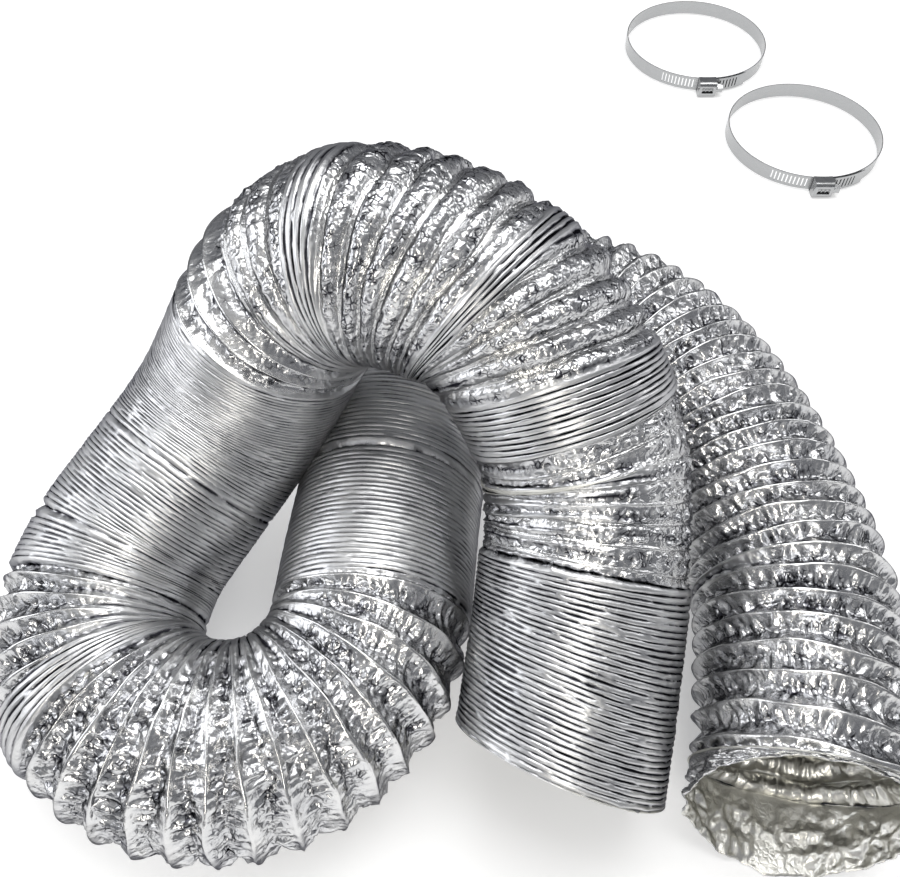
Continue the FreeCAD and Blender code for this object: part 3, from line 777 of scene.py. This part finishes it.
def thread_tree():
    """A worm screw's thread, a ridge of trapezoid section wound about X."""
    tree, given = new_tree(
        "Worm thread",
        {
            "Centre": "Vector",
            "Turns": "Float",
            "Pitch": "Float",
            "Radius": "Float",
            "Height": "Float",
            "Steel": "Material",
        },
    )
    helix = add_node(
        tree,
        "GeometryNodeCurveSpiral",
        {
            "Resolution": THREAD_STEPS,
            "Rotations": given["Turns"],
            "Start Radius": given["Radius"],
            "End Radius": given["Radius"],
            "Height": given["Turns"] * given["Pitch"],
        },
    )
    upright = add_node(tree, "GeometryNodeSetCurveNormal", {"Curve": helix.outputs[0]}, mode="Z_UP")
    section = add_node(
        tree,
        "GeometryNodeCurvePrimitiveQuadrilateral",
        {
            "Bottom Width": given["Pitch"] * THREAD_FOOT,
            "Top Width": given["Pitch"] * THREAD_TIP,
            "Offset": 0.0,
            "Height": given["Height"] * 2.0,
        },
        mode="TRAPEZOID",
    )
    ridge = add_node(
        tree,
        "GeometryNodeCurveToMesh",
        {"Curve": upright.outputs[0], "Profile Curve": section.outputs[0], "Fill Caps": True},
    )
    middle = arrow(tree, 0.0, 0.0, given["Turns"] * given["Pitch"] * -0.5)
    centring = {"Geometry": ridge.outputs[0], "Translation": middle}
    centred = add_node(tree, "GeometryNodeTransform", centring)
    laid = add_node(
        tree,
        "GeometryNodeTransform",
        {
            "Geometry": centred.outputs[0],
            "Translation": given["Centre"],
            "Rotation": (0.0, math.radians(90), 0.0),
        },
    )
    finish_tree(tree, laid.outputs[0], given["Steel"])
    return tree


def stored(tree, geometry, values):
    """The geometry with each value kept on its points under a name."""
    for label, value in values.items():
        geometry = add_node(
            tree,
            "GeometryNodeStoreNamedAttribute",
            {"Geometry": geometry, "Name": label, "Value": value},
            data_type="FLOAT",
            domain="POINT",
        ).outputs[0]
    return geometry


def welded(tree, geometry):
    node = add_node(tree, "GeometryNodeMergeByDistance", {"Geometry": geometry, "Distance": WELD})
    return node.outputs[0]


def walled(tree, sheet, wall):
    """The sheet as a closed wall that grows inwards, where its thickness isn't nought."""
    inner = add_node(
        tree,
        "GeometryNodeExtrudeMesh",
        {"Mesh": sheet, "Offset Scale": wall * -1.0, "Individual": False},
        mode="FACES",
    )
    named = add_node(
        tree,
        "GeometryNodeStoreNamedAttribute",
        {"Geometry": inner.outputs["Mesh"], "Name": "inside", "Value": inner.outputs["Top"]},
        data_type="BOOLEAN",
        domain="FACE",
    )
    turned = add_node(tree, "GeometryNodeFlipFaces", {"Mesh": named.outputs[0]})
    both = add_node(tree, "GeometryNodeJoinGeometry")
    tree.links.new(turned.outputs[0], both.inputs[0])
    tree.links.new(sheet, both.inputs[0])
    closed = welded(tree, both.outputs[0])
    thick = out(add_node(tree, "FunctionNodeCompare", {0: wall, 1: 0.0}, operation="GREATER_THAN"))
    chosen = add_node(
        tree,
        "GeometryNodeSwitch",
        {"Switch": thick, "False": sheet, "True": closed},
        input_type="GEOMETRY",
    )
    return chosen.outputs[0]


def finish_foil(tree, given, grid, place, lowest, marks):
    """The grid with its points at their places, over the floor, as foil with a lining."""
    x, y, z = parts_of(place)
    resting = arrow(tree, x, y, z.at_least(lowest))
    outside = add_node(tree, "GeometryNodeFlipFaces", {"Mesh": grid.outputs[0]})
    marked = stored(tree, outside.outputs[0], marks)
    placed = add_node(tree, "GeometryNodeSetPosition", {"Geometry": marked, "Position": resting})
    sheet = welded(tree, placed.outputs[0])
    finish_tree(tree, walled(tree, sheet, given["Wall"]), given["Foil"], given["Lining"])


def finish_tree(tree, geometry, material, lining=None):
    """Smooth faces, realised, with their material, and the lining's on the inside of a wall."""
    smooth = add_node(tree, "GeometryNodeSetShadeSmooth", {0: geometry})
    real = add_node(tree, "GeometryNodeRealizeInstances", {0: smooth.outputs[0]})
    dress = {"Geometry": real.outputs[0], "Material": material}
    dressed = add_node(tree, "GeometryNodeSetMaterial", dress)
    if lining is not None:
        name = {"Name": "inside"}
        inside = out(add_node(tree, "GeometryNodeInputNamedAttribute", name, data_type="BOOLEAN"))
        dressed = add_node(
            tree,
            "GeometryNodeSetMaterial",
            {"Geometry": dressed.outputs[0], "Selection": inside, "Material": lining},
        )
    leave = tree.nodes.new("NodeGroupOutput")
    tree.links.new(dressed.outputs[0], leave.inputs[0])


def grown(holder, tree, name, values):
    """The plain mesh that a tree makes from an object, as a new object at the origin."""
    modifier = holder.modifiers.new(tree.name, "NODES")
    modifier.node_group = tree
    for socket in tree.interface.items_tree:
        if socket.in_out == "INPUT" and socket.name in values:
            modifier[socket.identifier] = values[socket.name]
    graph = bpy.context.evaluated_depsgraph_get()
    mesh = bpy.data.meshes.new_from_object(holder.evaluated_get(graph), depsgraph=graph)
    holder.modifiers.remove(modifier)
    left = holder.data
    bpy.data.objects.remove(holder)
    bpy.data.meshes.remove(left)
    return new_object(name, mesh)


def made_from(name, tree, values):
    """A piece that a tree makes without anything to follow."""
    holder = new_object(name + "_holder", bpy.data.meshes.new(name + "_holder"))
    return grown(holder, tree, name, values)


# Materials

def new_material(name):
    """(material, its tree, its surface shader)."""
    material = bpy.data.materials.new(name)
    material.use_nodes = True
    return material, material.node_tree, material.node_tree.nodes["Principled BSDF"]


def own_place(tree):
    """The object's own coordinates."""
    return out(add_node(tree, "ShaderNodeTexCoord"), "Object")


def colours(fac, stops):
    """A colour read from a value, between these places and colours."""
    node = add_node(fac.tree, "ShaderNodeValToRGB", {"Fac": fac})
    ramp = node.color_ramp
    for place, _ in stops[1:-1]:
        ramp.elements.new(place)
    for element, (place, colour) in zip(ramp.elements, stops):
        element.position = place
        element.color = (*colour, 1)
    return out(node)


def carried(tree, name):
    """A value that the piece carries under a name."""
    return out(add_node(tree, "ShaderNodeAttribute", attribute_name=name), "Fac")


def dress_metal(tree, surface, height, strength, depth, colour, rough):
    """A metal surface with its bumps, colour and roughness."""
    bumps = {"Height": height, "Strength": strength, "Distance": depth}
    bump = add_node(tree, "ShaderNodeBump", bumps)
    tree.links.new(bump.outputs[0], surface.inputs["Normal"])
    tree.links.new(colour.socket, surface.inputs["Base Color"])
    tree.links.new(rough.socket, surface.inputs["Roughness"])
    surface.inputs["Metallic"].default_value = 1.0


def foil_material(name, look):
    """Aluminium foil, finely crumpled where it is drawn out and smoother where it is squeezed."""
    material, tree, surface = new_material(name)
    place = own_place(tree)
    slack = carried(tree, "slack")
    rise = carried(tree, "rise")
    cloud = rough_noise(place, CLOUDS)
    free = (1.0 - rise ** 4.0) * slack
    apart = creases(place, FINE_FACETS)
    crinkled = free * FREE_CREASES + carried(tree, "fine") * FINE_CREASES + LEAST_CREASES
    # Dark lines of painted shade along the fine creases, broken here and there
    broken = rough_noise(place, LINE_BREAKS) * LINE_BREAKS.amount + LINE_MIDDLE
    painted_crease_lines = share_of(apart, LINE_WIDTH, 0.0) * crinkled * broken.at_least(0.0).at_most(1.0)
    height = apart * crinkled + rough_noise(place, GRIT) * GRIT.amount
    # Painted highlight on the crests and painted shade in the valleys
    crest = (rise - CREST_MIDDLE) * CREST_HIGHLIGHT_AND_SHADE
    tone = (cloud * CLOUDS.amount + TONE_MIDDLE + slack * TONE_OF_SLACK + crest).at_least(TONE_LEAST)
    # Painted shade darkens the squeezed grooves, the folds that turn inwards and the creases' lines
    tone = tone - carried(tree, "dim") * look.dimming - painted_crease_lines * look.strokes
    rough = cloud * ROUGH_OF_CLOUDS + look.roughness + (1.0 - slack) * ROUGH_OF_SQUEEZED
    dress_metal(tree, surface, height, 1.0, look.fine_depth, colours(tone, look.tints), rough)
    surface.inputs["Specular Tint"].default_value = (*look.edge, 1)
    return material


def steel_material():
    """Brushed stainless steel, scratched along the band."""
    material, tree, surface = new_material("brushed steel")
    x, y, z = parts_of(own_place(tree))
    grain = rough_noise(arrow(tree, x * GRAIN_ALONG, y * GRAIN_ALONG, z), STEEL_GRAIN)
    colour = colours(grain * 0.5 + 0.5, STEEL_TINTS)
    rough = grain * STEEL_GRAIN.amount + STEEL_ROUGHNESS
    dress_metal(tree, surface, grain, GRAIN_STRENGTH, GRAIN_DEPTH, colour, rough)
    return material


foil = foil_material("aluminium foil", OUTER_LOOK)
lining = foil_material("inner foil", LINING_LOOK)
steel = steel_material()


# The duct's pieces

def pleated_piece(name, first, last, rows=DRAWN, segments=FINE_SEGMENTS, **others):
    """One stretch of the duct, from one turn of wire to another."""
    values = {
        "Turns": last - first,
        "Segments": segments,
        **rows,
        "Steps per turn": float(STEPS_PER_TURN),
        "Inset": 0.0,
        "Wall": 0.0,
        "Crumple": 1.0,
        "Seed": DUCT_SEED,
        "Foil": foil,
        "Lining": lining,
    }
    values.update(others)
    return grown(turn_line(name + "_line", first, last), wall_tree, name, values)


wall_tree = pleated_wall_tree()
front_end = pleated_piece("front_end_pleats", -1, 34, SQUEEZED_FINE, Wall=PLY)
front_bellows = pleated_piece("front_bellows_pleats", 34, 42, Wall=PLY)
runs = [
    pleated_piece("outer_foil_front_arch", 42, 62),
    pleated_piece("outer_foil_back_arch", 62, 76),
    pleated_piece("outer_foil_left_limb", 76, 145, SQUEEZED_FINE),
    pleated_piece("outer_foil_low_bend", 145, 170),
    pleated_piece("outer_foil_right_leg", 170, 247, SQUEEZED_FINE),
    pleated_piece("outer_foil_right_limb", 247, 274),
]
rear = pleated_piece("rear_end_pleats", 274, END_TURN + 1, Wall=PLY)
inner = pleated_piece(
    "duct_inner_foil",
    *INNER_TURNS,
    INNER,
    INNER_SEGMENTS,
    Inset=INNER_INSET,
    Wall=PLY,
    Crumple=0.0,
    Foil=lining,
)

last_ring = float(np.interp(END_TURN, turn_there, along_route))
start, ahead, beside, over = frame_at(last_ring)
skirt = made_from(
    "rear_skirt",
    skirt_tree(),
    {
        "Start": start,
        "Ahead": ahead,
        "Beside": beside,
        "Over": over,
        "Length": SKIRT_LENGTH,
        "Cut back": SKIRT_CUT_BACK,
        "Tip": LEANS_AT_TOP[-1],
        "Wall": PLY,
        "Seed": SKIRT_SEED,
        "Foil": foil,
        "Lining": lining,
    },
)

for piece in (*runs, inner):
    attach(piece, "duct")
    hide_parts("duct_run")
for piece, node in ((front_end, "front_end"), (front_bellows, "front_bellows")):
    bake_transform(piece)
    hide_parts(node)
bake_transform(rear)
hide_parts("rear_bellows", "rear_end")
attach(skirt, "rear_mouth_end")
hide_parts("rear_end")

# The clamps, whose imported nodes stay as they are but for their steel

worm_tree = thread_tree()
for clamp, (x, y, z) in CLAMPS.items():
    thread = made_from(
        clamp + "_screw_thread",
        worm_tree,
        {
            "Centre": (x, y - SCREW_OFFSET, z),
            "Turns": THREAD_TURNS,
            "Pitch": THREAD_PITCH,
            "Radius": SHANK_RADIUS,
            "Height": THREAD_HEIGHT,
            "Steel": steel,
        },
    )
    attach(thread, clamp + "_screw_body")

for name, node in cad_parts.items():
    if name.startswith("clamp"):
        node.data.materials.clear()
        node.data.materials.append(steel)


# The stage

def area_light(lamp):
    data = bpy.data.lights.new(lamp.name, "AREA")
    data.shape = "RECTANGLE"
    data.size, data.size_y = lamp.size
    data.energy = lamp.power
    data.color = lamp.colour
    light = new_object(lamp.name, data)
    light.location = lamp.place
    aim = Vector(lamp.target) - Vector(lamp.place)
    light.rotation_euler = aim.to_track_quat("-Z", "Y").to_euler()


def white_floor():
    """A pale floor that shows white and keeps the shadows."""
    mesh = bpy.data.meshes.new("floor")
    corners = [(x * FLOOR_REACH, y * FLOOR_REACH, 0) for x, y in ((-1, -1), (1, -1), (1, 1), (-1, 1))]
    mesh.from_pydata(corners, [], [(0, 1, 2, 3)])
    floor = new_object("floor", mesh)
    material, tree, surface = new_material("pale floor")
    surface.inputs["Base Color"].default_value = (*FLOOR_COLOUR, 1)
    surface.inputs["Roughness"].default_value = FLOOR_ROUGHNESS
    surface.inputs["Specular IOR Level"].default_value = 0.0
    path = add_node(tree, "ShaderNodeLightPath")
    seen = out(path, "Is Camera Ray") * FLOOR_GLOW + out(path, "Is Glossy Ray") * FLOOR_GLOW
    glow = add_node(tree, "ShaderNodeEmission", {"Color": (*WHITE, 1), "Strength": seen})
    both = add_node(tree, "ShaderNodeAddShader")
    tree.links.new(surface.outputs[0], both.inputs[0])
    tree.links.new(glow.outputs[0], both.inputs[1])
    tree.links.new(both.outputs[0], tree.nodes["Material Output"].inputs["Surface"])
    mesh.materials.append(material)


def dim_studio():
    """A world that is darkest at the horizon, for the foil to mirror."""
    world = bpy.data.worlds.new("studio")
    world.use_nodes = True
    bpy.context.scene.world = world
    tree = world.node_tree
    _, _, z = parts_of(out(add_node(tree, "ShaderNodeTexCoord"), "Generated"))
    tree.links.new(colours(z, SKY).socket, tree.nodes["Background"].inputs["Color"])


def camera():
    data = bpy.data.cameras.new("camera")
    data.lens = CAMERA_LENS
    data.sensor_width = CAMERA_SENSOR
    eye = new_object("camera", data)
    eye.location = CAMERA_PLACE
    eye.rotation_euler = (math.radians(90 - CAMERA_DOWN), 0, 0)
    bpy.context.scene.camera = eye


white_floor()
dim_studio()
camera()
for lamp in LAMPS:
    area_light(lamp)
bpy.context.scene.view_settings.view_transform = "Standard"
